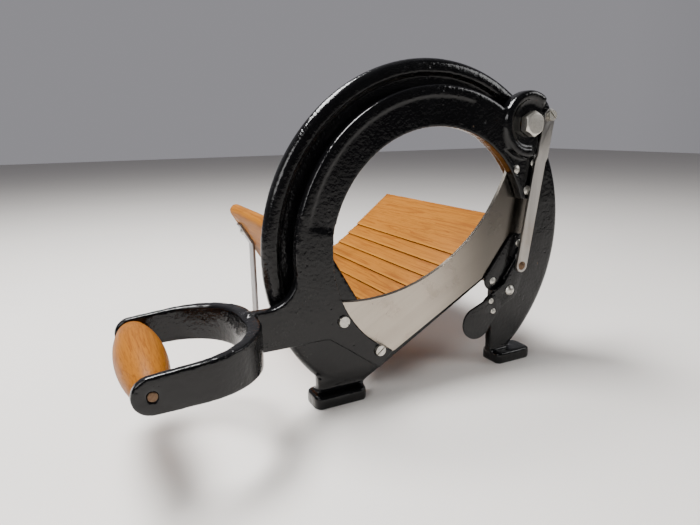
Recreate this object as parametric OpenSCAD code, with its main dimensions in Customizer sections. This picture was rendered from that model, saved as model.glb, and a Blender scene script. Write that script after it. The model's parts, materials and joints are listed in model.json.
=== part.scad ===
// Lever bread slicer: a cast frame ring on two feet, a V-shaped wooden feed trough,
// and a cast arm that swings a concave blade down across the ring.
// +X to the right, +Y towards the back of the trough, +Z up. All sizes in millimetres.
// Inside the modules x = 0 is the ring's centre and y = 0 is near the front of the ring;
// place() then moves everything so that the origin lies under the middle of the whole slicer.

/* [Frame casting] */
// Height of the ring's centre above the table
ring_z = 125; // [115:1:140]
// Outer radius of the ring, over its rounded bead
ring_r = 148; // [140:1:160]
// Radius of the round bead along the ring's outer edge
bead_r = 6.5; // [5:0.5:8]
// Radius of the opening in the frame
opening_r = 98; // [85:1:100]
// Thickness of the frame's flat web
web_t = 9.5; // [7:0.5:12]
// Depth of the sunk channel in the front of the ring
channel_depth = 4; // [2:0.5:5]
// Width of the raised rim around the opening
rim_w = 6; // [4:0.5:9]
// How far the ledges under the boards reach back
ledge_reach = 31; // [20:1:45]
// Thickness of those ledges
ledge_t = 4.7; // [3:0.1:6]
// Height of a foot pad
pad_h = 11; // [8:0.5:15]
// Depth of a foot pad, front to back
pad_depth = 25; // [18:1:35]
// Distance that a foot pad stands in front of the ring's front face
pad_front = 9.5; // [4:0.5:14]

/* [Wooden trough] */
// Slope of the ribbed board
slope = 30; // [25:1:35]
// Distance from the ring's centre square to the ribbed board's top
board_drop = 46.8; // [35:0.2:55]
// Distance from the ring's centre square to the side board's inner face
side_offset = 81; // [70:1:88]
// Thickness of both boards
board_t = 14; // [10:0.5:16]
// Width of the ribbed board, measured up the slope
ribbed_w = 179; // [150:1:185]
// Length of the ribbed board along its low edge
board_len = 218; // [180:1:260]
// Extra length at the ribbed board's high corner
corner_extra = 29; // [0:1:50]
// Height of the side board above the ribbed board's top
side_h = 112; // [80:1:118]
// Distance between ribs
rib_pitch = 18; // [12:0.2:20]
// Height of the step at each rib
rib_step = 1.6; // [0.8:0.1:2.5]
// Number of ribs
rib_count = 6; // [3:1:6]

/* [Arm casting] */
// Outer radius of the arm's ring
arm_r = 127; // [120:1:132]
// Radius of the arm's opening
arm_opening_r = 95; // [85:1:97]
// Sideways offset of the arm's opening from the ring's centre
arm_opening_shift = 2; // [0:0.5:4]
// Thickness of the arm's plate
arm_t = 9; // [7:0.5:12]
// Radius of the boss around the pivot
boss_r = 28; // [25:0.5:32]
// Height of the collar on that boss
collar_h = 3.5; // [2:0.5:6]
// Depth of the sunk pocket that holds the rivets
pocket_depth = 3.5; // [2:0.5:5]

/* [Handle fork and grip] */
// Distance from the ring's centre back to the grip's axis
grip_reach = 239; // [215:1:260]
// Height of the grip's axis above the table
grip_z = 71; // [60:1:85]
// Gap between the two prongs
fork_gap = 106.5; // [95:0.5:120]
// Thickness of a prong
prong_t = 6.5; // [5:0.5:9]
// Height of a prong at its round end
prong_h = 24.5; // [18:0.5:30]
// Radius of the bend between prong and root
fork_bend_r = 44; // [30:1:50]
// Greatest radius of the wooden grip
grip_r = 17; // [13:0.5:22]
// Radius of the grip at its two ends
grip_end_r = 10.5; // [8:0.5:12]
// Radius of the rod that the grip turns on
rod_r = 3; // [2.5:0.1:4]

/* [Blade] */
// Thickness of the blade
blade_t = 2; // [1.5:0.1:2.5]
// Radius of the blade's hollow cutting edge
edge_r = 150; // [135:1:170]
// Clearance between the blade and the frame's front face
blade_gap = 0.5; // [0.3:0.1:1]

/* [Pivot] */
// Distance of the pivot to the right of the ring's centre
pivot_x = 91; // [84:1:98]
// Height of the pivot above the ring's centre
pivot_up = 96.2; // [88:0.2:102]
// Radius of the pivot bolt's shank
bolt_r = 6; // [5:0.5:8]
// Size of the bolt head across its flats
bolt_flats = 19; // [17:1:24]
// Wall of the bronze bush in the arm
bush_wall = 2; // [1.5:0.1:3]

/* [Link and slice stop] */
// Top joint of the link, to the right of the pivot
link_top_dx = 21; // [17:0.5:22]
// Top joint of the link, above the pivot
link_top_dz = 6.8; // [3:0.2:10]
// Length of the link between its two joints
link_len = 134; // [128:0.5:140]
// Lean of the link from the vertical when the blade is down
link_lean = 8.6; // [6:0.2:11]
// Width of the link
link_w = 12; // [10:0.5:14]
// Thickness of the link
link_t = 2.5; // [2:0.1:3]
// Distance between the rocker's pivot and the link's lower joint
rocker_len = 24.8; // [22:0.2:27]
// Lean of the rocker's link side from the vertical when the blade is down
rocker_lean = 25; // [15:1:35]
// Thickness of the rocker
rocker_t = 3; // [2:0.1:4]
// Thickness of the stop plate
stop_t = 2; // [1.5:0.1:3]
// Radius of the stop plate's round end
stop_r = 15; // [12:0.5:18]

/* [Clearances] */
// Gap between faces that slide past each other
slide_gap = 0.3; // [0.2:0.05:0.5]
// Radial gap of a pin in its running hole
pin_gap = 0.05; // [0.02:0.01:0.1]

/* [Hidden] */
$fn = 72;

// Colours
enamel = [0.03, 0.03, 0.035];
steel = [0.72, 0.72, 0.70];
zinc = [0.62, 0.62, 0.60];
beech = [0.80, 0.50, 0.24];
bronze = [0.62, 0.45, 0.22];

// Planes from back to front: the lower the number, the nearer the front
bead_y = 1;
face_y = bead_y - bead_r;
web_back = face_y + web_t;
blade_back = face_y - blade_gap;
blade_front = blade_back - blade_t;
arm_back = blade_front;
arm_front = arm_back - arm_t;
seat_y = arm_front - slide_gap;
pocket_y = arm_front + pocket_depth;
board_front = web_back + 0.2;
board_back = board_front + board_len;
ledge_back = face_y + ledge_reach;

// The trough's own axes: u runs up the ribbed board, v stands square on it
centre_u = ring_z * sin(slope);
centre_v = ring_z * cos(slope);
top_v = centre_v - board_drop;
side_u = centre_u - side_offset;
under_v = top_v - board_t;
bar_v = under_v - ledge_t;
side_out_u = side_u - board_t;
side_top_v = top_v + side_h;

// Pivot, link and rocker joints
pivot = [pivot_x, ring_z + pivot_up];
link_top = pivot + [link_top_dx, link_top_dz];
link_low = link_top - link_len * [sin(link_lean), cos(link_lean)];
rocker_pivot = link_low - rocker_len * [sin(rocker_lean), cos(rocker_lean)];

// Rivets and screws
rivet_head_r = 4.2;
rivet_head_h = 1.8;
rivet_r = 2.5;
screw_head_r = 4.4;
screw_head_h = 3.4;
slot_w = 1;
slot_depth = 1.4;
screw_sink = 1.2;
blade_screw_at = [[-89.5, ring_z - 52], [-57, ring_z - 82.5]];
blade_rivet_at = [[82.5, ring_z + 57.5], [103.5, ring_z + 62.5], [97, ring_z + 38.5]];

// Link planes: the strap steps back below the boss to run close over the rivets
strap_top_back = arm_front - slide_gap;
strap_low_back = pocket_y - rivet_head_h - 0.5;
strap_low_front = strap_low_back - link_t;
joggle_from = 35.5;
joggle_to = 40;
rocker_front = strap_low_back + 0.4;
rocker_back = rocker_front + rocker_t;
stop_front = rocker_front - stop_t;
spacer_front = rocker_back + slide_gap;

// Blade guide
guide_t = 2;
guide_back = blade_front - 0.4;
guide_front = guide_back - guide_t;
guide_low = [66, ring_z - 41.5];
guide_high = [90, ring_z - 10];
guide_r = 9.5;
guide_rivet_at = [guide_low + [-0.5, -1], guide_high + [4, 0]];
guide_post_r = 3.6;

// Stop plate: a drop shape on the rocker's lower arm
stop_end = rocker_pivot + [-38, -25];
stop_neck = rocker_pivot + [-20.5, -11.5];
stop_neck_r = 9;
stop_rivet_at = [stop_neck + [0.5, -5], stop_neck + [-2.5, 5]];

// Frame legs and feet
leg_left_x = 71;
left_pad_x = [-113, -66.5];
right_pad_x = [72.5, 114];
pad_corner_r = 6;
left_leg_top_z = ring_z - 103;
right_leg_top_z = ring_z - 114;

// Handle fork
arm_mid_y = (arm_front + arm_back) / 2;
neck_top_z = ring_z - 33.5;
neck_low_z = ring_z - 65.5;
fork_out_w = fork_gap + 2 * prong_t;
fork_root_x = -163;
grip_clear = 0.5;

// Rear stand
stand_y = 198;
stand_w = 14;
stand_t = 3;
stand_left_x = -96;
stand_right_x = 46;
stand_tab = 26;

// Middle of the whole slicer, for the origin
x_low = -grip_reach - prong_h / 2;
x_high = ring_r;
y_low = arm_mid_y - fork_out_w / 2;
y_high = board_back + corner_extra;
middle = [(x_low + x_high) / 2, (y_low + y_high) / 2];

// Moves the slicer so that the origin is under its middle
module place() translate([-middle.x, -middle.y, 0]) children();

// A drawing in the XZ plane given thickness from y0 (front) to y1 (back)
module slab(y0, y1) translate([0, y1, 0]) rotate([90, 0, 0]) linear_extrude(y1 - y0) children();

// A round bar along Y at point p
module bar(p, r, y0, y1) slab(y0, y1) translate(p) circle(r);

// A drawing in the trough's axes (u to the right, v up) turned to the slope
module sloped() rotate(slope) children();

// A plate with straight sides between two round ends of different size
side_inset = 0.03;
module taper(p, rp, q, rq, y0, y1) {
    d = q - p;
    turn = atan2(d.y, d.x);
    lean = acos((rp - rq) / norm(d));
    sides = [[cos(turn + lean), sin(turn + lean)], [cos(turn - lean), sin(turn - lean)]];
    bar(p, rp, y0, y1);
    bar(q, rq, y0, y1);
    slab(y0, y1) polygon([p + (rp - side_inset) * sides[0], q + (rq - side_inset) * sides[0],
                          q + (rq - side_inset) * sides[1], p + (rp - side_inset) * sides[1]]);
}

// A rectangle with round corners, lying in XY
module pad_outline(x0, x1, y0, y1, r) {
    translate([x0 + r, y0]) square([x1 - x0 - 2 * r, y1 - y0]);
    translate([x0, y0 + r]) square([x1 - x0, y1 - y0 - 2 * r]);
    for (x = [x0 + r, x1 - r], y = [y0 + r, y1 - r]) translate([x, y]) circle(r);
}

// A low dome facing the front, its flat side at y
module dome(p, r, h, y) {
    ball_r = (r * r + h * h) / (2 * h);
    translate([p.x, y, p.y]) rotate([90, 0, 0]) rotate_extrude() intersection() {
        translate([0, h - ball_r]) circle(ball_r, $fn = 144);
        square([r, h]);
    }
}

// A domed rivet: head in front of y, shank back to y_end
module rivet(p, y, y_end, head_r = rivet_head_r, head_h = rivet_head_h, r = rivet_r) {
    dome(p, head_r, head_h, y);
    bar(p, r, y, y_end);
}

// A slotted cheese-head screw facing the front
module slot_screw(p, y, y_end, turn, r = rivet_r) {
    difference() {
        bar(p, screw_head_r, y - screw_head_h, y);
        translate([p.x, y - screw_head_h, p.y]) rotate([0, turn, 0])
            cube([3 * screw_head_r, 2 * slot_depth, slot_w], center = true);
    }
    bar(p, r, y, y_end);
}

// Ring between two radii about the ring's centre
module annulus(r0, r1) difference() {
    translate([0, ring_z]) circle(r1);
    translate([0, ring_z]) circle(r0);
}

// The part of the opening that bread can pass: above the ribbed board, right of the side board
module bread_way(r) intersection() {
    translate([0, ring_z]) circle(r);
    sloped() translate([side_u, top_v]) square(3 * ring_r);
}

// Front outline of the frame's web: ring, cross bar and two legs
module web_outline() {
    ring_outline();
    leg_outline(left_pad_x[0] + 6, left_pad_x[1], left_leg_top_z);
    leg_outline(right_pad_x[0], right_pad_x[1] - 14, right_leg_top_z);
}
module leg_outline(x0, x1, z1) translate([x0, pad_h - 1]) square([x1 - x0, max(1, z1 - pad_h + 1)]);
module ring_outline() difference() {
    translate([0, ring_z]) circle(ring_r - bead_r);
    bread_way(opening_r);
    // the open space under the cross bar, with a rounded corner beside the right leg
    difference() {
        intersection() {
            sloped() translate([-2 * ring_r, bar_v - 2 * ring_r]) square([4 * ring_r, 2 * ring_r]);
            translate([-ring_r, -ring_r]) square([leg_left_x + ring_r, 3 * ring_r]);
        }
        translate([-3 * ring_r, -ring_r]) square([3 * ring_r + left_pad_x[1] - 40, ring_r + pad_h]);
    }
    translate([-2 * ring_r, -2 * ring_r + pad_h - 1]) square([4 * ring_r, 2 * ring_r]);
}

// Front outline of the sunk channel between rim and bead
module channel_outline() difference() {
    annulus(opening_r + rim_w, ring_r - 2 * bead_r + 1);
    sloped() translate([-2 * ring_r, bar_v - 2 * ring_r - 0.1]) square([4 * ring_r, 2 * ring_r + 20]);
    translate([-2 * ring_r, 0]) square([2 * ring_r, neck_low_z]);
    translate([pivot.x - bolt_r, 0]) square(3 * ring_r);
}

// One ledge that carries a board, given in the trough's axes
module ledge(u0, u1, v0, v1) slab(face_y, ledge_back) intersection() {
    sloped() translate([u0, v0]) square([u1 - u0, v1 - v0]);
    translate([0, ring_z]) circle(ring_r - bead_r);
}

ledge_screw_u = [side_u + 32, side_u + 125];
ledge_screw_v = [top_v + 20, top_v + 85];
ledge_screw_y = (web_back + ledge_back) / 2;
wood_screw_r = 2;
wood_screw_len = 9;

// A round-headed wood screw: p is in the trough's axes, turn points it into the wood
module wood_screw(p, turn, y) rotate([0, -slope, 0]) translate([p.x, y, p.y]) rotate([0, turn, 0]) {
    cylinder(r = wood_screw_r, h = wood_screw_len + ledge_t);
    mirror([0, 0, 1]) rotate_extrude() intersection() {
        translate([0, -1.9]) circle(4.6, $fn = 144);
        square([5, 3]);
    }
}
module wood_screw_hole(p, turn, y) rotate([0, -slope, 0]) translate([p.x, y, p.y]) rotate([0, turn, 0])
    translate([0, 0, -5]) cylinder(r = wood_screw_r, h = wood_screw_len + ledge_t + 5);

module all_ledge_screws(hole = false) {
    for (u = ledge_screw_u)
        if (hole) wood_screw_hole([u, bar_v], 0, ledge_screw_y);
        else wood_screw([u, bar_v], 0, ledge_screw_y);
    for (v = ledge_screw_v)
        if (hole) wood_screw_hole([side_out_u - ledge_t, v], 90, ledge_screw_y);
        else wood_screw([side_out_u - ledge_t, v], 90, ledge_screw_y);
}

// Cast frame: web, bead, rim, ledges, bosses and feet in one casting
module frame() place() color(enamel) difference() {
    union() {
        difference() {
            slab(face_y, web_back) web_outline();
            slab(face_y - 1, face_y + channel_depth) channel_outline();
        }
        intersection() {
            translate([0, bead_y, ring_z]) rotate([90, 0, 0]) rotate_extrude()
                translate([ring_r - bead_r, 0]) circle(bead_r);
            bead_keep();
        }
        ledge(side_out_u - 0.4, centre_u + 90, bar_v, under_v - 0.1);
        ledge(side_out_u - ledge_t, side_out_u - 0.1, bar_v, side_top_v - 6);
        bar(pivot, bolt_r + 8, arm_back + slide_gap + 0.8, web_back + 8);
        bar(rocker_pivot, 8, spacer_front, face_y + 1);
        bar([-103, ring_z - 73], 10, face_y - 0.3, face_y + 1);
        for (x = [left_pad_x, right_pad_x])
            linear_extrude(pad_h) translate([0, face_y - pad_front])
                pad_outline(x[0], x[1], 0, pad_depth, pad_corner_r);
    }
    bar(pivot, bolt_r, -50, 50);
    bar(rocker_pivot, 3, -50, 50);
    for (p = guide_rivet_at) bar(p, rivet_r, -50, 50);
    all_ledge_screws(hole = true);
}

// Space in which the bead exists: above the feet, not across the gap between the legs
module bead_keep() difference() {
    translate([-2 * ring_r, -50, pad_h - 1]) cube([4 * ring_r, 100, 4 * ring_r]);
    translate([left_pad_x[1] - 10, -60, -10]) cube([leg_left_x - left_pad_x[1], 120, ring_z - 60]);
}

// Start of the first rib and of the back edge's slant, both up the slope from the side board
first_rib_u = 6;
slant_from = 82;

// Cross-section of the ribbed board: each rib falls gently and ends at a small step up
module ribbed_section() {
    translate([side_u, under_v]) difference() {
        square([ribbed_w, board_t]);
        translate([first_rib_u, board_t]) for (i = [0 : rib_count - 1]) translate([i * rib_pitch, 0])
            polygon([[0, 0], [rib_pitch, -rib_step], [rib_pitch, 1], [0, 1]]);
    }
}

// Ribbed board, its back edge slanting out towards the high corner
module ribbed_board() place() color(beech) difference() {
    intersection() {
        slab(board_front, board_back + corner_extra) sloped() ribbed_section();
        rotate([0, -slope, 0]) translate([0, 0, -ring_r]) linear_extrude(3 * ring_r)
            polygon([[side_u - 1, board_front - 1], [side_u + ribbed_w + 1, board_front - 1],
                     [side_u + ribbed_w + 1, board_back + corner_extra],
                     [side_u + slant_from, board_back], [side_u - 1, board_back]]);
    }
    all_ledge_screws(hole = true);
    stand_screws_at(hole = true);
}

// Side board with a rounded top edge
module side_board() place() color(beech) difference() {
    slab(board_front, board_back) sloped() {
        translate([side_out_u, under_v]) square([board_t - 0.1, side_top_v - under_v - board_t / 2]);
        translate([side_out_u + board_t / 2 - 0.05, side_top_v - board_t / 2]) circle(board_t / 2 - 0.05);
    }
    all_ledge_screws(hole = true);
    stand_screws_at(hole = true);
}

module board_screws() place() color(zinc) all_ledge_screws();

// Rear stand: a flat bar bent into a stirrup, up the outside of both boards
stand_bend_v = side_at_x(stand_left_x);
stand_right_u = (stand_right_x + under_v * sin(slope)) / cos(slope);
stand_screw_y = stand_y + stand_w / 2;
function side_at_x(x) = ((side_out_u - stand_t) * cos(slope) - x) / sin(slope);
module stand_profile() difference() {
    union() {
        translate([stand_left_x, 0])
            square([stand_t, side_out_u * sin(slope) + stand_bend_v * cos(slope)]);
        sloped() translate([side_out_u - stand_t, stand_bend_v]) square([stand_t, stand_tab]);
        translate([stand_left_x, 0]) square([stand_right_x - stand_left_x, stand_t]);
        translate([stand_right_x - stand_t, 0])
            square([stand_t, stand_right_u * sin(slope) + (under_v - stand_t / 2) * cos(slope)]);
        sloped() translate([stand_right_u - stand_t, under_v - stand_t]) square([stand_tab, stand_t]);
    }
    // nothing of the bar enters the boards
    sloped() translate([side_out_u, under_v]) square(3 * ring_r);
}
module rear_stand() place() color(steel) difference() {
    slab(stand_y, stand_y + stand_w) stand_profile();
    stand_screws_at(hole = true);
}
module stand_screws_at(hole = false) {
    low = [stand_right_u + stand_tab / 2 + 2, under_v - stand_t];
    side = [side_out_u - stand_t, stand_bend_v + stand_tab * 0.62];
    if (hole) {
        wood_screw_hole(low, 0, stand_screw_y);
        wood_screw_hole(side, 90, stand_screw_y);
    } else {
        wood_screw(low, 0, stand_screw_y);
        wood_screw(side, 90, stand_screw_y);
    }
}
module stand_screws() place() color(zinc) stand_screws_at();

// Pivot bolt with its hexagon head in front
bolt_head_h = 8;
back_washer_t = 2.4;
frame_boss_back = web_back + 8;
nut_h = 10;
bolt_end = frame_boss_back + back_washer_t + nut_h + 3;
module hexagon(y0, y1) slab(y0, y1) translate(pivot) rotate(30) circle(bolt_flats / 2 / cos(30), $fn = 6);
module pivot_bolt() place() color(zinc) {
    intersection() {
        hexagon(seat_y - bolt_head_h, seat_y);
        // chamfered corners of the head
        translate([pivot.x, seat_y, pivot.y]) rotate([90, 0, 0]) {
            cylinder(r = bolt_flats, h = bolt_head_h - 2.2);
            translate([0, 0, bolt_head_h - 2.2])
                cylinder(r1 = bolt_flats / 2 / cos(30) + 0.3, r2 = bolt_flats / 2 - 1.2, h = 2.21);
        }
    }
    bar(pivot, bolt_r, seat_y, bolt_end);
}
module pivot_washer() place() color(zinc) slab(arm_back + slide_gap, arm_back + slide_gap + 0.8)
    difference() { translate(pivot) circle(bolt_r + 7); translate(pivot) circle(bolt_r + pin_gap); }
module back_washer() place() color(zinc) slab(frame_boss_back, frame_boss_back + back_washer_t)
    difference() { translate(pivot) circle(bolt_r + 7); translate(pivot) circle(bolt_r + pin_gap); }
module pivot_nut() place() color(zinc) difference() {
    hexagon(frame_boss_back + back_washer_t, frame_boss_back + back_washer_t + nut_h);
    bar(pivot, bolt_r, -50, 80);
}

// Blade guide: a short plate in front of the blade's low corner, on two riveted posts
module guide_plate() place() color(enamel) difference() {
    union() {
        taper(guide_low, guide_r, guide_high, guide_r, guide_front, guide_back);
        for (p = guide_rivet_at) bar(p, guide_post_r, guide_back, face_y);
    }
    for (p = guide_rivet_at) bar(p, rivet_r, -50, 50);
}
module guide_rivets() place() color(zinc)
    for (p = guide_rivet_at) rivet(p, guide_front, web_back, 3.5, 1.5);

// Rocker pivot: a big domed rivet
module rocker_rivet() place() color(zinc)
    rivet(rocker_pivot, rocker_front - slide_gap, web_back, 4.8, 2.8, 3);

// Arm outline: ring, boss, limb down to the blade rivets, lobe at the lower left, and neck
limb_low_z = ring_z + 29;
module arm_opening(r) translate([-arm_opening_shift, ring_z]) circle(r);
module arm_outline() {
    difference() {
        union() {
            translate([0, ring_z]) circle(arm_r);
            translate(pivot) circle(boss_r);
        }
        arm_opening(arm_opening_r);
        arm_cut();
        limb_cut();
    }
    neck_outline();
    neck_fillet();
}
// Everything below the lobe and the limb, which the arm leaves open
module arm_cut() polygon([[-135, ring_z - 38], [-104, ring_z - 63], [-57, ring_z - 98.5],
    [-43, ring_z - 84.5], [-20, ring_z - 62], [-20, limb_low_z - 20], [78, limb_low_z + 4], [110, limb_low_z],
    [140, limb_low_z], [140, -ring_z], [-135, -ring_z]]);
// Right-hand side of the limb, cut back from the ring's outline
module limb_cut() difference() {
    polygon([[106, limb_low_z - 1], [pivot.x + boss_r - 4, pivot.y - 16], [160, pivot.y - 16],
             [160, limb_low_z - 1]]);
    translate(pivot) circle(boss_r);
}
module neck_outline() polygon([[fork_root_x - 3, neck_low_z], [-100, neck_low_z],
    [-100, neck_top_z], [fork_root_x - 3, neck_top_z]]);

// Fillet that sweeps from the ring down to the top of the neck
neck_fillet_r = 24;
neck_fillet_up = neck_fillet_r - (ring_z - neck_top_z);
neck_fillet_x = -sqrt(pow(arm_r + neck_fillet_r, 2) - pow(neck_fillet_up, 2));
module neck_fillet() {
    touch = [neck_fillet_x, neck_fillet_up] * arm_r / (arm_r + neck_fillet_r);
    translate([0, ring_z]) difference() {
        polygon([[neck_fillet_x, neck_fillet_up - neck_fillet_r - 1], [neck_fillet_x, neck_fillet_up], touch,
                 [arm_r / 10 - arm_r, touch.y], [arm_r / 10 - arm_r, neck_top_z - ring_z - 1]]);
        translate([neck_fillet_x, neck_fillet_up]) circle(neck_fillet_r);
    }
}

// Width of the rim left between the opening and the pocket
pocket_rim_w = 5;

// Sunk pocket around the blade rivets
module pocket_outline() difference() {
    intersection() {
        arm_outline();
        translate([0, limb_low_z - 1]) square([140, pivot.y - limb_low_z - 20]);
    }
    arm_opening(arm_opening_r + pocket_rim_w);
    translate(pivot) circle(boss_r + 1);
}

// Raised collar around the bolt, open on the right for the link
module collar_outline() difference() {
    translate(pivot) circle(boss_r);
    translate(pivot) circle(boss_r - 7.5);
    translate(pivot) polygon([[0, 0], 80 * [cos(280), sin(280)], 80 * [cos(320), sin(320)], [90, 0],
                              80 * [cos(50), sin(50)]]);
}

// U-shaped fork in plan, open towards the grip
module fork_plan(w, bend, x_root) difference() {
    pad_outline(-grip_reach - 60, x_root, arm_mid_y - w / 2, arm_mid_y + w / 2, bend);
    translate([-grip_reach - 100, -200]) square([80, 400]);
}
module fork() intersection() {
    linear_extrude(2 * ring_z) difference() {
        fork_plan(fork_out_w, fork_bend_r + prong_t, fork_root_x + 4);
        fork_plan(fork_gap, fork_bend_r, fork_root_x - prong_t);
    }
    slab(-150, 150) fork_side();
}
// Side view of the fork: round ends at the grip, taller at the root
module fork_side() {
    translate([-grip_reach, grip_z]) circle(prong_h / 2);
    polygon([[-grip_reach, grip_z + prong_h / 2], [-grip_reach, grip_z - prong_h / 2],
             [fork_root_x + 10, neck_low_z], [fork_root_x + 10, neck_top_z - 1]]);
}

// Cast arm: ring, boss and collar, blade seats, neck and handle fork in one casting
module arm() place() color(enamel) difference() {
    union() {
        difference() {
            slab(arm_front, arm_back) arm_outline();
            slab(arm_front - 1, pocket_y) pocket_outline();
        }
        slab(arm_front - collar_h, arm_front) collar_outline();
        fork();
    }
    bar(pivot, bolt_r + bush_wall, -60, 20);
    bar(link_top, 3, arm_front - 1, arm_back - 1);
    for (p = concat(blade_screw_at, blade_rivet_at)) bar(p, rivet_r, -60, 20);
    for (p = blade_screw_at) bar(p, screw_head_r + 0.1, -60, arm_front + screw_sink);
    for (p = blade_rivet_at) bar(p, rivet_head_r + 0.3, -60, pocket_y);
    translate([-grip_reach, 0, grip_z]) rotate([90, 0, 0]) cylinder(r = rod_r, h = 300, center = true);
}

module pivot_bush() place() color(bronze) slab(arm_front, arm_back) difference() {
    translate(pivot) circle(bolt_r + bush_wall);
    translate(pivot) circle(bolt_r + pin_gap);
}

// Blade: hollow upper edge, straight lower edge along the cross bar
edge_centre = [-64, ring_z + 110];
blade_outline_points = [[-57, ring_z - 95], [-37, ring_z - 89.5], [88, ring_z - 20], [86.5, ring_z - 4],
    [99, ring_z - 1], [106, limb_low_z + 8], [109, pivot.y - 27], [72, pivot.y - 27], [-90, ring_z - 10],
    [-103, ring_z - 42], [-98, ring_z - 62]];
module blade() place() color(steel) slab(blade_front, blade_back) difference() {
    polygon(blade_outline_points);
    translate(edge_centre) circle(edge_r, $fn = 180);
    for (p = concat(blade_screw_at, blade_rivet_at)) translate(p) circle(rivet_r);
}
module blade_screws() place() color(zinc)
    for (i = [0, 1]) slot_screw(blade_screw_at[i], arm_front + screw_sink, blade_back, 40 - 80 * i);
module blade_rivets() place() color(zinc)
    for (p = blade_rivet_at) rivet(p, pocket_y, blade_back);

// Screw that holds the link's top to the arm
module link_screw() place() color(zinc)
    slot_screw(link_top, strap_top_back - link_t - slide_gap / 2, arm_back - 1, 45, 3);

// Rod through both prongs
module grip_rod() place() color(zinc)
    bar([-grip_reach, grip_z], rod_r, y_low, y_low + fork_out_w);

// Turned wooden grip, fattest in the middle
grip_len = fork_gap - 2 * grip_clear;
module grip() place() color(beech) translate([-grip_reach, arm_mid_y, grip_z]) rotate([90, 0, 0]) {
    swell = grip_r - grip_end_r;
    curve_r = (grip_len * grip_len / 4 + swell * swell) / (2 * swell);
    rotate_extrude() intersection() {
        translate([grip_r - curve_r, 0]) circle(curve_r, $fn = 360);
        translate([rod_r + pin_gap, -grip_len / 2]) square([grip_r, grip_len]);
    }
}

// Link strap: flat bar with round ends and one joggle, drawn as [y, height below the top joint]
module strap_edge() polygon([
    [strap_top_back, 8], [strap_top_back, -joggle_from], [strap_low_back, -joggle_to],
    [strap_low_back, -link_len - 8], [strap_low_front, -link_len - 8], [strap_low_front, -joggle_to],
    [strap_top_back - link_t, -joggle_from], [strap_top_back - link_t, 8]]);
module link_strap() place() color(steel) translate([link_top.x, 0, link_top.y]) rotate([0, link_lean, 0])
    difference() {
        intersection() {
            taper([0, 0], link_w / 2, [0, -link_len], link_w / 2, -60, 0);
            rotate([90, 0, 90]) linear_extrude(link_w, center = true) strap_edge();
        }
        bar([0, 0], 3 + pin_gap, -60, 0);
        bar([0, -link_len], 3, -60, 0);
    }
module link_pin() place() color(zinc)
    rivet(link_low, strap_low_front, strap_low_back, 4, 1.8, 3);

// Rocker: bell crank on the big rivet
module rocker() place() color(enamel) difference() {
    union() {
        taper(rocker_pivot, 9.5, link_low, link_w / 2, rocker_front, rocker_back);
        taper(rocker_pivot, 9.5, stop_neck, stop_neck_r, rocker_front, rocker_back);
    }
    bar(rocker_pivot, 3 + pin_gap, -30, 0);
    for (p = stop_rivet_at) bar(p, 1.6, -30, 0);
}
module stop_plate() place() color(enamel) difference() {
    taper(stop_end, stop_r, stop_neck, stop_neck_r, stop_front, rocker_front);
    bar(rocker_pivot, 7, -30, 0);
    for (p = stop_rivet_at) bar(p, 1.6, -30, 0);
}
module stop_rivets() place() color(zinc)
    for (p = stop_rivet_at) rivet(p, stop_front, rocker_back, 2.6, 1.4, 1.6);

frame();
ribbed_board();
side_board();
board_screws();
rear_stand();
stand_screws();
pivot_bolt();
pivot_washer();
back_washer();
pivot_nut();
guide_plate();
guide_rivets();
rocker_rivet();
arm();
pivot_bush();
blade();
blade_screws();
blade_rivets();
link_screw();
grip_rod();
grip();
link_strap();
link_pin();
rocker();
stop_plate();
stop_rivets();
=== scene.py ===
"""Lever bread slicer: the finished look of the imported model.

The castings are softened copies of the plain solids, boards and steel parts get eased edges,
the grip is turned afresh, and every surface has its own procedural finish. All sizes are in
metres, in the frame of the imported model.
"""

import json
import logging
import math
from dataclasses import dataclass
from enum import Enum
from typing import Callable, Optional, Union

import bpy
from mathutils import Matrix, Vector


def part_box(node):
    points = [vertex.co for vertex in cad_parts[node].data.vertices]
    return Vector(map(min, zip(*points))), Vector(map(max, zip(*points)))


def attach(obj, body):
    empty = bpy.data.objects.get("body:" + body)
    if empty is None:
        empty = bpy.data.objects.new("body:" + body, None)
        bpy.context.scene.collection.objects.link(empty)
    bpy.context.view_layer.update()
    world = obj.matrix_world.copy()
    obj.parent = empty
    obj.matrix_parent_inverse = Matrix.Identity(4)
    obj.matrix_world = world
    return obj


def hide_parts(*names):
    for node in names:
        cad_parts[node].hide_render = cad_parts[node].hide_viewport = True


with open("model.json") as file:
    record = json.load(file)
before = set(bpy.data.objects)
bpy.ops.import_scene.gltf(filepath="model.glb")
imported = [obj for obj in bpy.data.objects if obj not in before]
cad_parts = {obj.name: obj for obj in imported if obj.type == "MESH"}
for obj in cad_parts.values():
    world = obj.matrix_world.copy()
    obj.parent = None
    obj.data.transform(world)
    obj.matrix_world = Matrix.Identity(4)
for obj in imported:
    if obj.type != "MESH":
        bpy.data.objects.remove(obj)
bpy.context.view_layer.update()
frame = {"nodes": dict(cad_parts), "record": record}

LOG = logging.getLogger("slicer")
# The solids that ride on each body
BODIES = frame["record"]["behaviour"]["bodies"]

# The ring's centre on its front plane, and the slope of the ribbed board
RING_CENTRE = Vector((0.051625, -0.089475, 0.125))
SLOPE = math.radians(30)
# Marks that run straight up
UPRIGHT = math.pi / 2
# Corners of a solid nearer than this are one, and faces flatter than this are one
MERGE = 2e-6
FLAT = math.radians(0.6)

Number = Union[int, float]
Link = Union[Number, "Value", bpy.types.NodeSocket, tuple]


class Slot(Enum):
    """The record's material slots; each replacing piece is handed one, which is not used."""

    ENAMEL = "black_enamel"
    LEVER = "black_lever"
    BOARD = "board_wood"
    GRIP = "grip_wood"
    BLADE = "blade_steel"
    BAR = "bar_steel"
    ZINC = "zinc_hardware"


# ---------------------------------------------------------------- shader tools


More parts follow.
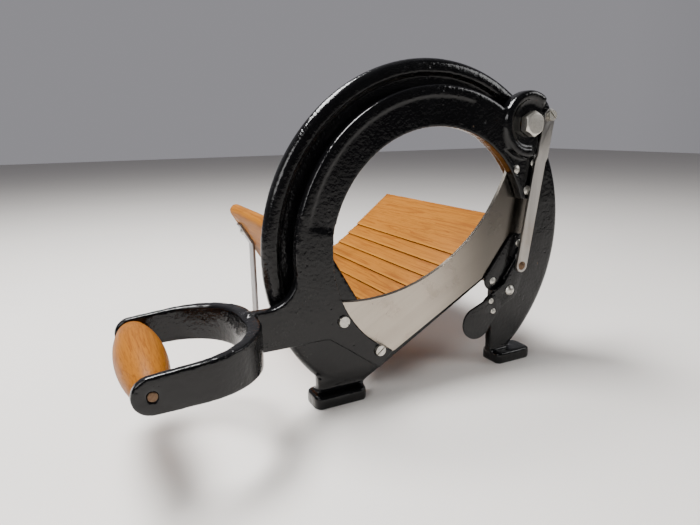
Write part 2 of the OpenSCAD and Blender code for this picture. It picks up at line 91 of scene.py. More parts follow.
class Value:
    """A number that varies over a surface and takes part in sums."""

    def __init__(self, paint: "Paint", socket: bpy.types.NodeSocket) -> None:
        """Wraps a socket of one paint's node tree."""
        self.paint = paint
        self.socket = socket

    def _sum(self, operation: str, first: Link, second: Link) -> "Value":
        """Adds one Math node.

        Args:
            operation: the Math node's operation.
            first: its first number or link.
            second: its second number or link.

        Returns:
            The result as a new value.
        """
        node = self.paint.node("ShaderNodeMath", {"operation": operation}, {0: first, 1: second})
        return Value(self.paint, node.outputs[0])

    def __add__(self, other: Link) -> "Value":
        """self + other."""
        return self._sum("ADD", self, other)

    def __radd__(self, other: Link) -> "Value":
        """other + self."""
        return self._sum("ADD", other, self)

    def __sub__(self, other: Link) -> "Value":
        """self - other."""
        return self._sum("SUBTRACT", self, other)

    def __rsub__(self, other: Link) -> "Value":
        """other - self."""
        return self._sum("SUBTRACT", other, self)

    def __mul__(self, other: Link) -> "Value":
        """self * other."""
        return self._sum("MULTIPLY", self, other)

    def __rmul__(self, other: Link) -> "Value":
        """other * self."""
        return self._sum("MULTIPLY", other, self)

    def within_turn(self) -> "Value":
        """What is left of self after whole turns, from 0 to 1."""
        node = self.paint.node("ShaderNodeMath", {"operation": "FRACT"}, {0: self})
        return Value(self.paint, node.outputs[0])

    def ramp(self, low: Number, high: Number) -> "Value":
        """Eases from 0 at low to 1 at high.

        Args:
            low: the value at which the result leaves 0.
            high: the value at which the result reaches 1.

        Returns:
            The eased value.
        """
        settings = {"interpolation_type": "SMOOTHSTEP"}
        node = self.paint.node("ShaderNodeMapRange", settings, {0: self, 1: low, 2: high})
        return Value(self.paint, node.outputs[0])


class Paint:
    """One material while it is being mixed."""

    def __init__(self, name: str) -> None:
        """Starts a material with a Principled shader and nothing on it."""
        self.material = bpy.data.materials.new(name)
        self.material.use_nodes = True
        self.tree = self.material.node_tree
        self.tree.nodes.clear()
        self.shader = self.node("ShaderNodeBsdfPrincipled")
        self.node("ShaderNodeOutputMaterial", {}, {"Surface": self.shader.outputs[0]})
        self.coordinates = self.node("ShaderNodeTexCoord").outputs["Object"]

    def node(
        self, kind: str, settings: Optional[dict] = None, inputs: Optional[dict] = None
    ) -> bpy.types.Node:
        """Adds a node.

        Args:
            kind: the node's type.
            settings: what the node is set to, before its sockets are filled.
            inputs: a number, colour or link for each named or numbered socket.

        Returns:
            The node.
        """
        made = self.tree.nodes.new(kind)
        for key, setting in (settings or {}).items():
            setattr(made, key, setting)
        for key, content in (inputs or {}).items():
            self._fill(made.inputs[key], content)
        return made

    def _fill(self, socket: bpy.types.NodeSocket, content: Link) -> None:
        """Gives a socket its number or colour, or links it.

        Args:
            socket: the socket to fill.
            content: a number, colour or link.
        """
        if isinstance(content, Value):
            content = content.socket
        if isinstance(content, bpy.types.NodeSocket):
            self.tree.links.new(content, socket)
        else:
            socket.default_value = content

    def placed(self, stretch: tuple, turn: tuple) -> bpy.types.NodeSocket:
        """The surface's own coordinates, turned and then stretched.

        Args:
            stretch: scale along each turned axis.
            turn: rotation about each axis, in radians.

        Returns:
            The coordinates' socket.
        """
        inputs = {"Vector": self.coordinates, "Rotation": turn}
        turned = self.node("ShaderNodeMapping", {}, inputs).outputs[0]
        settings = {"operation": "MULTIPLY"}
        return self.node("ShaderNodeVectorMath", settings, {0: turned, 1: stretch}).outputs[0]

    def noise(
        self, scale: Number, detail: Number = 2, where: Optional[bpy.types.NodeSocket] = None,
        rough: Number = 0.5, bend: Number = 0,
    ) -> Value:
        """Cloudy noise from 0 to 1.

        Args:
            scale: number of clouds in a metre.
            detail: how many finer layers it has.
            where: the coordinates that it follows.
            rough: strength of the finer layers.
            bend: how far it is bent by itself.

        Returns:
            The noise.
        """
        inputs = {"Vector": where or self.coordinates, "Scale": scale, "Detail": detail,
                  "Roughness": rough, "Distortion": bend}
        return Value(self, self.node("ShaderNodeTexNoise", {}, inputs).outputs[0])

    def cells(
        self, scale: Number, where: Optional[bpy.types.NodeSocket] = None
    ) -> tuple[Value, Value]:
        """Scattered points.

        Args:
            scale: number of points in a metre.
            where: the coordinates that they follow.

        Returns:
            The distance to the nearest point, and a random number of that point.
        """
        inputs = {"Vector": where or self.coordinates, "Scale": scale}
        made = self.node("ShaderNodeTexVoronoi", {}, inputs)
        split = self.node("ShaderNodeSeparateColor", {}, {0: made.outputs["Color"]})
        return Value(self, made.outputs["Distance"]), Value(self, split.outputs[0])

    def axis(self, where: bpy.types.NodeSocket, number: int) -> Value:
        """One axis of some coordinates, as a value."""
        return Value(self, self.node("ShaderNodeSeparateXYZ", {}, {0: where}).outputs[number])

    def blend(self, share: Link, first: Link, second: Link) -> bpy.types.NodeSocket:
        """Mixes two colours.

        Args:
            share: 0 gives the first colour and 1 the second.
            first: a colour or a link.
            second: a colour or a link.

        Returns:
            The mixed colour's socket.
        """
        inputs = {0: share, 6: first, 7: second}
        return self.node("ShaderNodeMix", {"data_type": "RGBA"}, inputs).outputs[2]

    def bump(
        self, height: Value, depth: Number, strength: Number = 1.0,
        below: Optional[bpy.types.NodeSocket] = None,
    ) -> bpy.types.NodeSocket:
        """Small relief.

        Args:
            height: the relief, from 0 to 1.
            depth: how deep it is, in metres.
            strength: how much of it shows.
            below: relief that this one lies on.

        Returns:
            The normal's socket.
        """
        inputs = {"Height": height, "Distance": depth, "Strength": strength}
        if below is not None:
            inputs["Normal"] = below
        return self.node("ShaderNodeBump", {}, inputs).outputs[0]

    def finish(self, **sockets: Link) -> bpy.types.Material:
        """Fills the shader's sockets, whose names have _ for a space.

        Args:
            sockets: a number, colour or link for each socket.

        Returns:
            The finished material.
        """
        for name, content in sockets.items():
            self._fill(self.shader.inputs[name.replace("_", " ")], content)
        return self.material


def rgb(red: Number, green: Number, blue: Number) -> tuple:
    """A colour with full alpha."""
    return (red, green, blue, 1.0)


# -------------------------------------------------------------------- finishes


@dataclass(frozen=True)
class Enamel:
    """Deep glossy black stoved enamel over cast iron."""

    name: str
    peel_scale: float = 330.0
    peel_depth: float = 0.00046
    wave_scale: float = 55.0
    wave_depth: float = 0.0013
    gloss: float = 0.10

    def make(self) -> bpy.types.Material:
        """Mixes the enamel and returns its material."""
        paint = Paint(self.name)
        wave = paint.noise(self.wave_scale, 1)
        peel = paint.noise(self.peel_scale, 2)
        pit, pit_lot = paint.cells(210.0)
        patch = paint.noise(24.0, 3)
        pits = (1 - pit.ramp(0.05, 0.34)) * pit_lot.ramp(0.72, 0.80) * patch.ramp(0.42, 0.60)
        chip, chip_lot = paint.cells(85.0)
        chips = (1 - (chip + 0.10 * peel).ramp(0.10, 0.13)) * chip_lot.ramp(0.93, 0.935)
        smear = paint.noise(16.0, 5, rough=0.7)
        dust = paint.noise(700.0, 3).ramp(0.62, 0.74) * smear.ramp(0.5, 0.66)
        tone = paint.blend(smear, rgb(0.0015, 0.0015, 0.0018), rgb(0.004, 0.004, 0.0045))
        tone = paint.blend(dust * 0.12, tone, rgb(0.30, 0.28, 0.25))
        tone = paint.blend(chips * 0.7, tone, rgb(0.12, 0.075, 0.04))
        relief = paint.bump(wave, self.wave_depth, 0.5)
        relief = paint.bump(peel - 0.8 * pits - 0.6 * chips, self.peel_depth, 0.9, relief)
        shine = self.gloss + 0.16 * smear.ramp(0.35, 0.75) + 0.22 * dust + 0.3 * chips
        return paint.finish(
            Base_Color=tone, Roughness=shine, Normal=relief, Coat_Weight=0.12 - 0.1 * chips,
            Coat_Roughness=0.06, IOR=1.45, Specular_IOR_Level=0.32,
        )


@dataclass(frozen=True)
class VarnishedWood:
    """Warm varnished beech whose grain runs along Y; on a ribbed board, lighter step crests
    (worn varnish and painted highlight) and painted shade at the steps' feet.
    """

    name: str
    dark: tuple
    middle: tuple
    light: tuple
    tilt: float = 0.0
    streak: float = 0.035
    ring_scale: float = 62.0
    rings_in_band: float = 7.0
    gloss: float = 0.42
    crest_start: float = 0.0
    crest_pitch: float = 0.0
    crest_count: int = 0

    def make(self) -> bpy.types.Material:
        """Mixes the wood and returns its material."""
        paint = Paint(self.name)
        along = paint.placed((1, self.streak, 1), (0, self.tilt, 0))
        band = paint.noise(self.ring_scale, 3, along, 0.55, 0.9)
        fine = paint.noise(900.0, 2, along, 0.6)
        cloud = paint.noise(14.0, 3)
        fleck_place = paint.placed((1, 0.13, 1), (0, self.tilt, 0))
        fleck, fleck_lot = paint.cells(620.0, fleck_place)
        flecks = (1 - fleck.ramp(0.12, 0.30)) * fleck_lot.ramp(0.55, 0.70)
        rings = (band * self.rings_in_band + 0.25 * cloud).within_turn()
        late = rings.ramp(0.55, 0.96) * (1 - rings.ramp(0.97, 1.0))
        tone = paint.blend(late * 0.75, self.light, self.middle)
        tone = paint.blend(fine.ramp(0.44, 0.72) * 0.40, tone, self.dark)
        tone = paint.blend(flecks * 0.42, tone, self.dark)
        tone = paint.blend(cloud.ramp(0.48, 0.72) * 0.38, tone, self.dark)
        shine = self.gloss + 0.14 * fine + 0.10 * cloud
        height = 0.6 * fine - 0.7 * flecks + 0.5 * late
        # Ribbed board: a lighter band along each step's crest, partly worn varnish and partly a
        # painted highlight, and painted shade in the crease at each step's foot
        if self.crest_count:
            up = paint.axis(paint.placed((1, 1, 1), (0, self.tilt, 0)), 0)
            turn = (up - self.crest_start) * (1 / self.crest_pitch)
            past = turn.ramp(self.crest_count + 0.2, self.crest_count + 0.4)
            inside = turn.ramp(-0.1, 0.1) * (1 - past)
            place = turn.within_turn()
            lit_worn_crest = (1 - place.ramp(0.02, 0.22)) * inside
            shaded_step_foot = place.ramp(0.80, 0.99) * inside
            # Lighter crest tone is wear plus painted highlight; the darker foot tone below is
            # painted shade
            tone = paint.blend(lit_worn_crest * 0.55, tone, rgb(0.38, 0.160, 0.0200))
            tone = paint.blend(shaded_step_foot * 0.5, tone, self.dark)
            shine = shine + 0.10 * lit_worn_crest
        return paint.finish(
            Base_Color=tone, Roughness=shine, Normal=paint.bump(height, 0.00012, 0.8),
            Coat_Weight=0.01 + 0.03 * cloud, Coat_Roughness=0.25, IOR=1.40,
            Specular_IOR_Level=0.13,
        )


@dataclass(frozen=True)
class GroundSteel:
    """Bare steel with fine marks along one direction and faint stains, and painted shade towards
    the heel where asked.
    """

    name: str
    tone: tuple
    shade: tuple
    turn: float
    gloss: float
    mark_depth: float = 0.00004
    stain: tuple = (0.34, 0.27, 0.20, 1.0)
    stain_share: float = 0.25
    # How much painted shade darkens the steel along X towards the heel
    painted_heel_shade_share: float = 0.0

    def make(self) -> bpy.types.Material:
        """Mixes the steel and returns its material."""
        paint = Paint(self.name)
        along = paint.placed((0.02, 1, 1), (0, self.turn, 0))
        marks = paint.noise(2600.0, 2, along, 0.7)
        broad = paint.noise(240.0, 2, along, 0.6)
        cloud = paint.noise(22.0, 4, rough=0.62)
        spot, spot_lot = paint.cells(170.0)
        spots = (1 - (spot + 0.2 * cloud).ramp(0.14, 0.24)) * spot_lot.ramp(0.80, 0.86)
        stains = cloud.ramp(0.52, 0.74)
        tone = paint.blend(broad, self.tone, self.shade)
        tone = paint.blend(stains * self.stain_share, tone, self.stain)
        tone = paint.blend(spots * 0.35, tone, self.stain)
        # Painted shade: the tone darkens along X towards the blade's heel, standing in for the
        # dark reflection of the arm and guide
        if self.painted_heel_shade_share:
            painted_heel_shade = paint.axis(paint.coordinates, 0).ramp(0.035, 0.115)
            tone = paint.blend(painted_heel_shade * self.painted_heel_shade_share, tone, rgb(0.11, 0.10, 0.088))
        shine = self.gloss + 0.12 * marks + 0.14 * stains + 0.10 * spots
        return paint.finish(
            Base_Color=tone, Metallic=1.0 - 0.25 * spots, Roughness=shine,
            Normal=paint.bump(marks, self.mark_depth, 0.5),
        )


@dataclass(frozen=True)
class PlatedSteel:
    """Zinc-plated or bronze hardware with a mottled, slightly tarnished skin."""

    name: str
    tone: tuple
    tarnish: tuple
    gloss: float = 0.27
    pearl: float = 620.0

    def make(self) -> bpy.types.Material:
        """Mixes the plating and returns its material."""
        paint = Paint(self.name)
        mottle = paint.noise(self.pearl, 3, rough=0.6)
        cloud = paint.noise(95.0, 3)
        pit, pit_lot = paint.cells(900.0)
        pits = (1 - pit.ramp(0.15, 0.35)) * pit_lot.ramp(0.6, 0.7)
        dull = mottle.ramp(0.35, 0.7) * 0.4 + cloud.ramp(0.45, 0.75) * 0.45
        tone = paint.blend(dull, self.tone, self.tarnish)
        shine = self.gloss + 0.16 * mottle + 0.12 * cloud
        return paint.finish(
            Base_Color=tone, Metallic=1.0 - 0.2 * pits, Roughness=shine,
            Normal=paint.bump(mottle - 0.5 * pits, 0.00006, 0.6),
        )


@dataclass(frozen=True)
class TableTop:
    """Plain pale table under the slicer."""

    name: str = "pale_table"

    def make(self) -> bpy.types.Material:
        """Mixes the table's paint and returns its material."""
        paint = Paint(self.name)
        cloud = paint.noise(3.0, 4)
        tone = paint.blend(cloud, rgb(0.76, 0.725, 0.685), rgb(0.81, 0.775, 0.735))
        return paint.finish(Base_Color=tone, Roughness=0.5 + 0.12 * cloud)


# -------------------------------------------------------------- modelling tools


class Bench:
    """Mesh work that is done the same way on many pieces."""

    @staticmethod
    def clear() -> None:
        """Leaves nothing selected and no mesh in edit mode."""
        if bpy.context.mode != "OBJECT":
            bpy.ops.object.mode_set(mode="OBJECT")
        bpy.ops.object.select_all(action="DESELECT")

    @staticmethod
    def pick(piece: bpy.types.Object) -> None:
        """Makes one object the selected and active one."""
        Bench.clear()
        piece.select_set(True)
        bpy.context.view_layer.objects.active = piece

    @staticmethod
    def choose(piece: bpy.types.Object, test: Callable[[Vector], bool]) -> int:
        """Opens a piece in edit mode with only some of its vertices selected.

        Args:
            piece: the object to open.
            test: says of a place whether a vertex there is selected.

        Returns:
            The number of vertices selected.
        """
        Bench.pick(piece)
        bpy.ops.object.mode_set(mode="EDIT")
        bpy.ops.mesh.select_mode(type="VERT")
        bpy.ops.mesh.select_all(action="DESELECT")
        bpy.ops.object.mode_set(mode="OBJECT")
        chosen = 0
        for vertex in piece.data.vertices:
            vertex.select = test(vertex.co)
            chosen += vertex.select
        bpy.ops.object.mode_set(mode="EDIT")
        return chosen

    @staticmethod
    def copy_of(node: str, name: str) -> bpy.types.Object:
        """Copies a solid of the frame into a new piece with joined faces.

        Args:
            node: the solid's name.
            name: the new piece's name.

        Returns:
            The piece, with its loose triangles merged and flat faces whole.
        """
        mesh = frame["nodes"][node].data.copy()
        piece = bpy.data.objects.new(name, mesh)
        bpy.context.scene.collection.objects.link(piece)
        mesh.materials.clear()
        Bench.pick(piece)
        bpy.ops.mesh.customdata_custom_splitnormals_clear()
        bpy.ops.object.mode_set(mode="EDIT")
        bpy.ops.mesh.select_all(action="SELECT")
        bpy.ops.mesh.remove_doubles(threshold=MERGE)
        bpy.ops.mesh.dissolve_limited(angle_limit=FLAT)
        bpy.ops.object.mode_set(mode="OBJECT")
        return piece

    @staticmethod
    def apply(piece: bpy.types.Object, kind: str, **settings: object) -> None:
        """Adds a modifier with these settings and applies it.

        Args:
            piece: the object that takes it.
            kind: the modifier's type.
            settings: its settings by name.
        """
        Bench.pick(piece)
        modifier = piece.modifiers.new(kind.lower(), kind)
        for key, setting in settings.items():
            setattr(modifier, key, setting)
        bpy.ops.object.modifier_apply(modifier=modifier.name)

    @staticmethod
    def smooth(piece: bpy.types.Object, angle: float = 32.0) -> None:
        """Shades a piece smooth, apart from edges sharper than angle in degrees."""
        Bench.pick(piece)
        bpy.ops.object.shade_smooth_by_angle(angle=math.radians(angle))

    @staticmethod
    def eased(node: str, name: str, ease: float, steps: int = 3) -> bpy.types.Object:
        """A copy of a solid whose sharp edges are rounded.

        Args:
            node: the solid's name.
            name: the new piece's name.
            ease: width of the rounding.
            steps: number of faces across it.

        Returns:
            The piece.
        """
        piece = Bench.copy_of(node, name)
        Bench.apply(piece, "BEVEL", width=ease, segments=steps, limit_method="ANGLE",
                    angle_limit=math.radians(28), use_clamp_overlap=True, harden_normals=False)
        Bench.smooth(piece)
        return piece

    @staticmethod
    def cast(piece: bpy.types.Object, grain: float, passes: int) -> None:
        """Turns a sharp-edged copy into one soft casting.

        Args:
            piece: the copy.
            grain: size of the new faces.
            passes: how often the surface is smoothed.
        """
        Bench.apply(piece, "REMESH", mode="VOXEL", voxel_size=grain, adaptivity=0.0)
        Bench.apply(piece, "SMOOTH", factor=0.5, iterations=passes)

    @staticmethod
    def soften(
        piece: bpy.types.Object, test: Callable[[Vector], bool], passes: int
    ) -> None:
        """Smooths part of a casting further.

        Args:
            piece: the casting.
            test: says of a place whether it is smoothed.
            passes: how often it is smoothed.
        """
        group = piece.vertex_groups.new(name="soft")
        group.add([v.index for v in piece.data.vertices if test(v.co)], 1.0, "ADD")
        Bench.apply(piece, "SMOOTH", factor=0.5, iterations=passes, vertex_group="soft")
        piece.vertex_groups.clear()

    @staticmethod
    def thin_out(piece: bpy.types.Object, share: float) -> None:
        """Drops faces where a casting is nearly flat, to this share of them."""
        Bench.apply(piece, "DECIMATE", decimate_type="COLLAPSE", ratio=share)
        Bench.pick(piece)
        bpy.ops.object.shade_smooth()

    @staticmethod
    def dress(
        piece: bpy.types.Object, node: str, material: bpy.types.Material, slot: Slot
    ) -> None:
        """Gives a piece its body and its material, and hides the solid that it stands for.

        Args:
            piece: the finished piece.
            node: the solid that it stands for.
            material: its finish.
            slot: not used.
        """
        piece.data.materials.clear()
        piece.data.materials.append(material)
        body = next(name for name, nodes in BODIES.items() if node in nodes)
        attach(piece, body)
        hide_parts(node)
        LOG.info("%s: %d faces", piece.name, len(piece.data.polygons))

    @staticmethod
    def repaint(node: str, material: bpy.types.Material) -> None:
        """Gives a solid that stays its detailed material."""
        held = frame["nodes"][node]
        for place in held.material_slots:
            place.material = material
        LOG.info("%s: kept, %d faces", node, len(held.data.polygons))


# ------------------------------------------------------------------ sub-assemblies


@dataclass
class FrameCasting:
    """The cast ring with its legs, feet, channel and ledges."""

    grain: float = 0.00125
    passes: int = 7
    share: float = 0.50
    foot_top: float = 0.013
    foot_below: float = 0.006
    foot_above: float = 0.008
    foot_passes: int = 10

    def build(self, enamel: bpy.types.Material) -> None:
        """Rounds the casting, blends the feet into the legs and paints it."""
        piece = Bench.copy_of("frame", "frame_casting")
        Bench.cast(piece, self.grain, self.passes)
        Bench.soften(piece, self._near_foot_top, self.foot_passes)
        Bench.thin_out(piece, self.share)
        Bench.dress(piece, "frame", enamel, Slot.ENAMEL)

    def _near_foot_top(self, place: Vector) -> bool:
        """Whether a place is by the joint of a foot pad and its leg."""
        return self.foot_top - self.foot_below < place.z < self.foot_top + self.foot_above


@dataclass
class ArmCasting:
    """The cast arm with its sunk field, boss, collar and handle fork."""

    grain: float = 0.00095
    passes: int = 6
    share: float = 0.62
    outer_r: float = 0.127
    shoulder: float = 0.0055
    fork_start: float = 0.121
    collar_from: float = 0.017
    collar_to: float = 0.030
    shoulder_passes: int = 40
    fork_passes: int = 14
    collar_passes: int = 16
    field_passes: int = 30
    field_r: float = 0.1185
    field_depth: float = 0.0009
    field_from: float = 74.0
    field_to: float = 169.0
    front_y: float = -0.106475
    pivot: Vector = Vector((0.142625, 0, 0.2212))

    def _field_cutter(self) -> bpy.types.Object:
        """A wedge of a disc that sinks the flat field into the arm's ring."""
        Bench.clear()
        centre = RING_CENTRE
        bpy.ops.mesh.primitive_cylinder_add(
            vertices=192, radius=self.field_r, depth=0.01,
            location=(centre.x, self.front_y + self.field_depth - 0.005, centre.z),
            rotation=(math.pi / 2, 0, 0),
        )
        cutter = bpy.context.active_object
        bpy.ops.object.transform_apply(location=True, rotation=True, scale=True)
        for angle, side in ((self.field_from, 1), (self.field_to, -1)):
            turned = math.radians(angle)
            normal = Vector((-math.sin(turned), 0, math.cos(turned))) * side
            Bench.choose(cutter, lambda place: True)
            bpy.ops.mesh.select_all(action="SELECT")
            bpy.ops.mesh.bisect(
                plane_co=(centre.x, self.front_y, centre.z), plane_no=normal,
                use_fill=True, clear_inner=True,
            )
            bpy.ops.object.mode_set(mode="OBJECT")
        return cutter

    def _on_shoulder(self, place: Vector) -> bool:
        """Whether a place is near the outer edge of the arm's ring."""
        out = Vector((place.x - RING_CENTRE.x, place.z - RING_CENTRE.z)).length
        return out > self.outer_r - self.shoulder and not self._on_fork(place)

    def _on_fork(self, place: Vector) -> bool:
        """Whether a place is on the handle's fork or the neck."""
        return place.x <= RING_CENTRE.x - self.fork_start

    def _at_field_end(self, place: Vector) -> bool:
        """Whether a place is by the lower end of the sunk field."""
        across, up = RING_CENTRE.x - place.x, place.z - RING_CENTRE.z
        turned = 180 - math.degrees(math.atan2(up, across))
        return abs(turned - self.field_to) < 4 and place.y < self.front_y + 0.004

    def _on_collar(self, place: Vector) -> bool:
        """Whether a place is on the raised collar round the bolt."""
        out = Vector((place.x - self.pivot.x, place.z - self.pivot.z)).length
        return self.collar_from < out < self.collar_to and place.y < self.front_y + 0.002

    def build(self, enamel: bpy.types.Material) -> None:
        """Sinks the field, rounds the casting and paints it."""
        piece = Bench.copy_of("arm", "arm_casting")
        cutter = self._field_cutter()
        Bench.apply(piece, "BOOLEAN", operation="DIFFERENCE", object=cutter, solver="EXACT")
        bpy.data.objects.remove(cutter)
        Bench.cast(piece, self.grain, self.passes)
        Bench.soften(piece, self._on_shoulder, self.shoulder_passes)
        Bench.soften(piece, self._on_fork, self.fork_passes)
        Bench.soften(piece, self._on_collar, self.collar_passes)
        Bench.soften(piece, self._at_field_end, self.field_passes)
        Bench.thin_out(piece, self.share)
        Bench.dress(piece, "arm", enamel, Slot.ENAMEL)


@dataclass
class Trough:
    """The two boards that the loaf rests on, and the screws in them."""

    ease: float = 0.0007

    def build(
        self, ribbed: bpy.types.Material, side: bpy.types.Material, zinc: bpy.types.Material
    ) -> None:
        """Eases the boards' edges and varnishes them."""
        board = Bench.eased("ribbed_board", "ribbed_board_wood", self.ease)
        Bench.dress(board, "ribbed_board", ribbed, Slot.BOARD)
        board = Bench.eased("side_board", "side_board_wood", self.ease)
        Bench.dress(board, "side_board", side, Slot.BOARD)
        for node in ("board_screws", "stand_screws"):
            Bench.repaint(node, zinc)


@dataclass
class Blade:
    """The blade with its ground hollow edge, and its screws and rivets."""

    edge_centre: Vector = Vector((-0.012375, 0, 0.235))
    edge_r: float = 0.150
    front_y: float = -0.097475
    ground: float = 0.0012
    near: float = 0.0003

    def build(self, steel: bpy.types.Material, zinc: bpy.types.Material) -> None:
        """Grinds the hollow edge and finishes the steel."""
        piece = Bench.copy_of("blade", "blade_ground")
        centre = Vector((self.edge_centre.x, self.front_y, self.edge_centre.z))
        count = Bench.choose(piece, self._on_front_edge)
        grown = 1 + self.ground / self.edge_r
        bpy.ops.transform.resize(value=(grown, 1, grown), center_override=centre)
        Bench.clear()
        LOG.info("blade edge ground at %d points", count)
        Bench.smooth(piece, 20)
        Bench.dress(piece, "blade", steel, Slot.BLADE)
        for node in ("blade_screws", "blade_rivets", "link_screw"):
            Bench.repaint(node, zinc)

    def _on_front_edge(self, place: Vector) -> bool:
        """Whether a place is on the front of the hollow edge."""
        out = Vector((place.x - self.edge_centre.x, place.z - self.edge_centre.z)).length
        return place.y < self.front_y + self.near and abs(out - self.edge_r) < self.near


@dataclass
class Grip:
    """The turned wooden grip on its rod."""

    rod_gap: float = 0.00005
    corner: float = 0.0014
    taper: float = 0.0065
    full_share: float = 0.95
    rings: int = 24
    turns: int = 96

    def build(self, wood: bpy.types.Material, steel: bpy.types.Material) -> None:
        """Turns the grip from its outline and finishes it."""
        low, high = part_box("grip")
        rod_low, rod_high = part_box("grip_rod")
        middle = (low + high) / 2
        bore = (rod_high.x - rod_low.x) / 2 + self.rod_gap
        piece = self._turn(middle, (high.y - low.y) / 2, bore, (high.x - low.x) / 2)
        Bench.dress(piece, "grip", wood, Slot.GRIP)
        rod = Bench.eased("grip_rod", "grip_rod_turned", 0.0004)
        Bench.dress(rod, "grip_rod", steel, Slot.ZINC)

    def _radius(self, share: float, greatest: float) -> float:
        """Outer radius at a share of the half-length from the middle."""
        return greatest - self.taper * share * share

    def _turn(
        self, middle: Vector, half: float, bore: float, greatest: float
    ) -> bpy.types.Object:
        """Spins the grip's outline round its axis.

        Args:
            middle: the grip's middle.
            half: half of its length.
            bore: radius of the hole for the rod.
            greatest: its greatest radius.

        Returns:
            The turned piece.
        """
        outline = [(-half, bore)]
        for step in range(4):
            lean = math.pi / 2 * step / 3
            outline.append((-half + self.corner * (1 - math.cos(lean)),
                            self._radius(1, greatest) - self.corner * (1 - math.sin(lean))))
        for step in range(1, self.rings):
            share = -1 + 2 * step / self.rings
            if abs(share) < self.full_share:
                outline.append((share * half, self._radius(share, greatest)))
        outline += [(-y, r) for y, r in reversed(outline[:5])]
        Bench.clear()
        bpy.ops.mesh.primitive_plane_add(size=0.001, location=middle)
        piece = bpy.context.active_object
        piece.name = "grip_turned"
        bpy.ops.object.transform_apply(location=True, rotation=True, scale=True)
        bpy.ops.object.mode_set(mode="EDIT")
        bpy.ops.mesh.select_all(action="SELECT")
        bpy.ops.mesh.merge(type="CENTER")
        bpy.ops.transform.translate(value=(0, outline[0][0], outline[0][1]))
        for (y0, r0), (y1, r1) in zip(outline, outline[1:] + outline[:1]):
            bpy.ops.mesh.extrude_region_move(
                TRANSFORM_OT_translate={"value": (0, y1 - y0, r1 - r0)}
            )
        bpy.ops.mesh.select_all(action="SELECT")
        bpy.ops.mesh.remove_doubles(threshold=1e-5)
        bpy.ops.mesh.spin(steps=self.turns, angle=2 * math.pi, center=middle, axis=(0, 1, 0))
        bpy.ops.mesh.select_all(action="SELECT")
        bpy.ops.mesh.remove_doubles(threshold=1e-5)
        bpy.ops.mesh.normals_make_consistent(inside=False)
        bpy.ops.object.mode_set(mode="OBJECT")
        Bench.smooth(piece, 40)
        return piece


@dataclass
class Hardware:
    """Steel bars, the pivot's bolt, nut and washers, the link and the slice stop."""

    def build(
        self, zinc: bpy.types.Material, bar: bpy.types.Material, stand: bpy.types.Material,
        lever: bpy.types.Material, bronze: bpy.types.Material, worn: bpy.types.Material,
    ) -> None:
        """Eases the edges of each part and finishes it."""
        eased = (
            ("pivot_bolt", "pivot_bolt_plated", 0.0004, zinc, Slot.ZINC),
            ("pivot_nut", "pivot_nut_plated", 0.0004, zinc, Slot.ZINC),
            ("back_washer", "back_washer_plated", 0.0003, zinc, Slot.ZINC),
            ("rear_stand", "rear_stand_bar", 0.0006, stand, Slot.BAR),
            ("link_strap", "link_strap_brushed", 0.0004, bar, Slot.BAR),
            ("guide_plate", "guide_plate_enamelled", 0.0005, lever, Slot.LEVER),
            ("rocker", "rocker_enamelled", 0.0006, lever, Slot.LEVER),
            ("stop_plate", "stop_plate_enamelled", 0.0006, lever, Slot.LEVER),
        )
        for node, name, ease, material, slot in eased:
            Bench.dress(Bench.eased(node, name, ease), node, material, slot)
        for node in ("pivot_washer", "guide_rivets", "rocker_rivet", "stop_rivets"):
            Bench.repaint(node, zinc)
        Bench.repaint("link_pin", worn)
        Bench.repaint("pivot_bush", bronze)


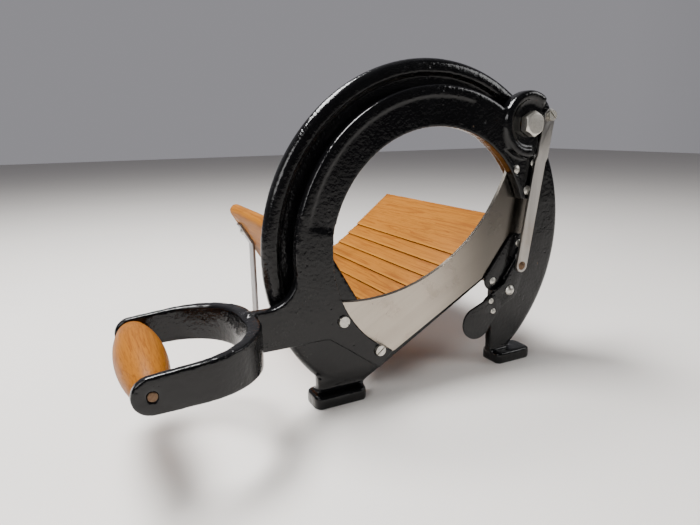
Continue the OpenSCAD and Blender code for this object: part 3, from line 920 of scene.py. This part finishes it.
@dataclass
class Studio:
    """Pale table, soft lights and the camera."""

    eye: Vector = Vector((-0.2134, -0.4675, 0.220))
    heading: float = 26.705
    dip: float = 13.925
    roll: float = -0.727
    lens: float = 27.98
    room_tone: tuple = (0.57, 0.56, 0.60, 1.0)
    room_ahead: float = 0.12
    room_behind: float = 0.50

    def build(self) -> None:
        """Adds the table, the lights, the surroundings and the camera."""
        self._table()
        self._light("overhead", (-0.35, 0.25, 1.25), (0.0, 0.0, 0.10), 0.8, 0.45, 46.0)
        self._light("window", (-1.3, -0.9, 1.0), (0.0, 0.0, 0.12), 0.8, 0.8, 15.0)
        self._light("right_fill", (1.2, -0.7, 0.8), (0.0, 0.0, 0.10), 0.6, 0.6, 6.0)
        self._surroundings()
        self._camera()

    def _table(self) -> None:
        """Adds the table top."""
        Bench.clear()
        bpy.ops.mesh.primitive_plane_add(size=8, location=(0, 0, 0))
        table = bpy.context.active_object
        table.name = "table_top"
        bpy.ops.object.mode_set(mode="EDIT")
        bpy.ops.mesh.subdivide(number_cuts=4)
        bpy.ops.object.mode_set(mode="OBJECT")
        table.data.materials.append(TableTop().make())

    def _light(
        self, name: str, place: tuple, aim: tuple, width: float, depth: float, power: float
    ) -> None:
        """Adds one soft rectangular light.

        Args:
            name: the light's name.
            place: its middle.
            aim: the point that it faces.
            width: its width.
            depth: its depth.
            power: its power in watts.
        """
        data = bpy.data.lights.new(name, "AREA")
        data.shape, data.size, data.size_y, data.energy = "RECTANGLE", width, depth, power
        lamp = bpy.data.objects.new(name, data)
        lamp.location = place
        lamp.rotation_euler = (Vector(aim) - Vector(place)).to_track_quat("-Z", "Y").to_euler()
        bpy.context.scene.collection.objects.link(lamp)

    def _surroundings(self) -> None:
        """Sets a pale grey room that is darker in front of the slicer."""
        world = bpy.data.worlds.new("room")
        bpy.context.scene.world = world
        world.use_nodes = True
        tree = world.node_tree
        back = tree.nodes["Background"]
        back.inputs["Color"].default_value = self.room_tone
        toward = tree.nodes.new("ShaderNodeTexCoord")
        split = tree.nodes.new("ShaderNodeSeparateXYZ")
        ease = tree.nodes.new("ShaderNodeMapRange")
        limits = {"From Min": -0.3, "From Max": 0.6, "To Min": self.room_ahead,
                  "To Max": self.room_behind}
        for name, limit in limits.items():
            ease.inputs[name].default_value = limit
        tree.links.new(toward.outputs["Generated"], split.inputs[0])
        tree.links.new(split.outputs["Y"], ease.inputs["Value"])
        tree.links.new(ease.outputs[0], back.inputs["Strength"])

    def _camera(self) -> None:
        """Sets the camera at the eye, looking down the heading."""
        turn, dip, roll = (math.radians(a) for a in (self.heading, self.dip, self.roll))
        flat = math.cos(dip)
        ahead = Vector((math.sin(turn) * flat, math.cos(turn) * flat, -math.sin(dip)))
        level = Vector((math.cos(turn), -math.sin(turn), 0))
        right = level * math.cos(roll) + level.cross(ahead) * math.sin(roll)
        up = right.cross(ahead)
        data = bpy.data.cameras.new("eye")
        data.sensor_width, data.lens, data.clip_start = 36, self.lens, 0.01
        camera = bpy.data.objects.new("eye", data)
        camera.matrix_world = Matrix(
            ((right.x, up.x, -ahead.x, self.eye.x), (right.y, up.y, -ahead.y, self.eye.y),
             (right.z, up.z, -ahead.z, self.eye.z), (0, 0, 0, 1))
        )
        bpy.context.scene.collection.objects.link(camera)
        bpy.context.scene.camera = camera


def main() -> None:
    """Builds the slicer's sub-assemblies in order, then the studio."""
    logging.basicConfig(level=logging.INFO, format="%(name)s %(message)s")
    enamel = Enamel("black_enamel_cast").make()
    lever = Enamel("black_enamel_lever", peel_scale=420.0, wave_depth=0.0006, gloss=0.16).make()
    zinc = PlatedSteel("zinc_plating", rgb(0.60, 0.58, 0.53), rgb(0.36, 0.34, 0.29)).make()
    bronze = PlatedSteel(
        "bronze_bearing", rgb(0.62, 0.42, 0.20), rgb(0.40, 0.25, 0.12), gloss=0.32
    ).make()
    worn = PlatedSteel("worn_pin", rgb(0.17, 0.11, 0.07), rgb(0.09, 0.05, 0.03), 0.42).make()
    wood_tones = {"dark": rgb(0.105, 0.028, 0.0015), "middle": rgb(0.205, 0.062, 0.0040),
                  "light": rgb(0.300, 0.110, 0.0100)}
    ribbed = VarnishedWood(
        "ribbed_board_varnish", **wood_tones, tilt=SLOPE, crest_start=0.03221, crest_pitch=0.018,
        crest_count=6,
    ).make()
    side = VarnishedWood("side_board_varnish", **wood_tones, tilt=SLOPE).make()
    grip = VarnishedWood(
        "grip_varnish", dark=rgb(0.115, 0.031, 0.0020), middle=rgb(0.190, 0.058, 0.0045),
        light=rgb(0.265, 0.094, 0.0090), ring_scale=95.0, gloss=0.32, streak=0.05,
    ).make()
    blade = GroundSteel(
        "blade_steel", rgb(0.49, 0.43, 0.36), rgb(0.36, 0.32, 0.27), SLOPE, 0.16,
        stain_share=0.3, painted_heel_shade_share=0.95,
    ).make()
    strap = GroundSteel(
        "strap_steel", rgb(0.40, 0.385, 0.365), rgb(0.27, 0.26, 0.245), UPRIGHT, 0.26,
        stain_share=0.4,
    ).make()
    stand = GroundSteel(
        "stand_steel", rgb(0.36, 0.36, 0.37), rgb(0.22, 0.22, 0.225), UPRIGHT, 0.34
    ).make()

    FrameCasting().build(enamel)
    ArmCasting().build(enamel)
    Trough().build(ribbed, side, zinc)
    Blade().build(blade, zinc)
    Grip().build(grip, worn)
    Hardware().build(zinc, strap, stand, lever, bronze, worn)
    Studio().build()


if __name__ == "__main__":
    main()
